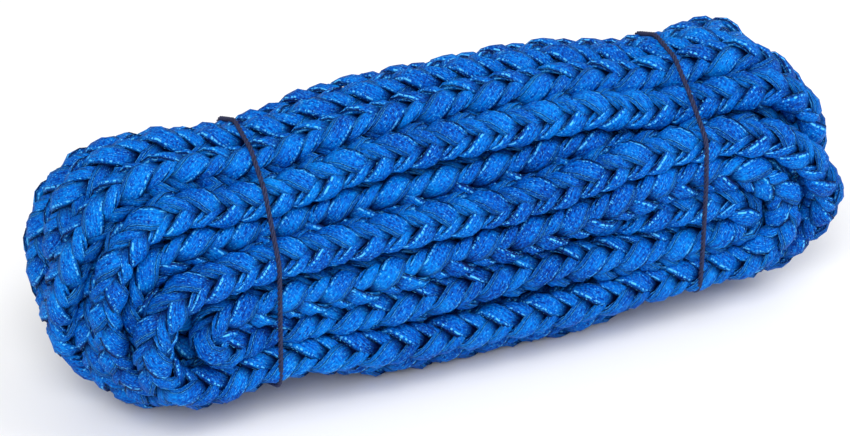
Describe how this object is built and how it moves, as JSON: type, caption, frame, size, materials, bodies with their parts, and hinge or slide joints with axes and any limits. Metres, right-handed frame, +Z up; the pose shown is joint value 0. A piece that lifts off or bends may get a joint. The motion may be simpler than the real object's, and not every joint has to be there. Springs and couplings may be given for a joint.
{
  "type": "hank of braided dock line",
  "caption": "Hank of blue eight-strand braided dock line, wound in flat layers with folded ends and held by two twine ties.",
  "frame": {"origin": "on the resting surface, under the middle of the hank's box", "axes": "+X along the hank's runs, +Y through the layers from the front one to the back one, +Z up"},
  "size_m": [0.238, 0.0668, 0.084],
  "materials": {
    "line_blue": "satin film-yarn polypropylene braid",
    "twine_dark": "matte twisted twine"
  },
  "bodies": {
    "hank": {"coil_layer_1": "line_blue", "coil_layer_2": "line_blue", "coil_layer_3": "line_blue", "coil_layer_4": "line_blue", "coil_layer_5": "line_blue", "coil_layer_6": "line_blue"},
    "left_tie": {"tie_left": "twine_dark", "tie_left_knot": "twine_dark"},
    "right_tie": {"tie_right": "twine_dark", "tie_right_knot": "twine_dark"}
  },
  "joints": [
    {"name": "left_tie_slide", "type": "slide", "parent": "hank", "child": "left_tie", "axis": [1, 0, 0], "range_m": [-0.008, 0.008]},
    {"name": "right_tie_slide", "type": "slide", "parent": "hank", "child": "right_tie", "axis": [1, 0, 0], "range_m": [-0.008, 0.008]}
  ]
}
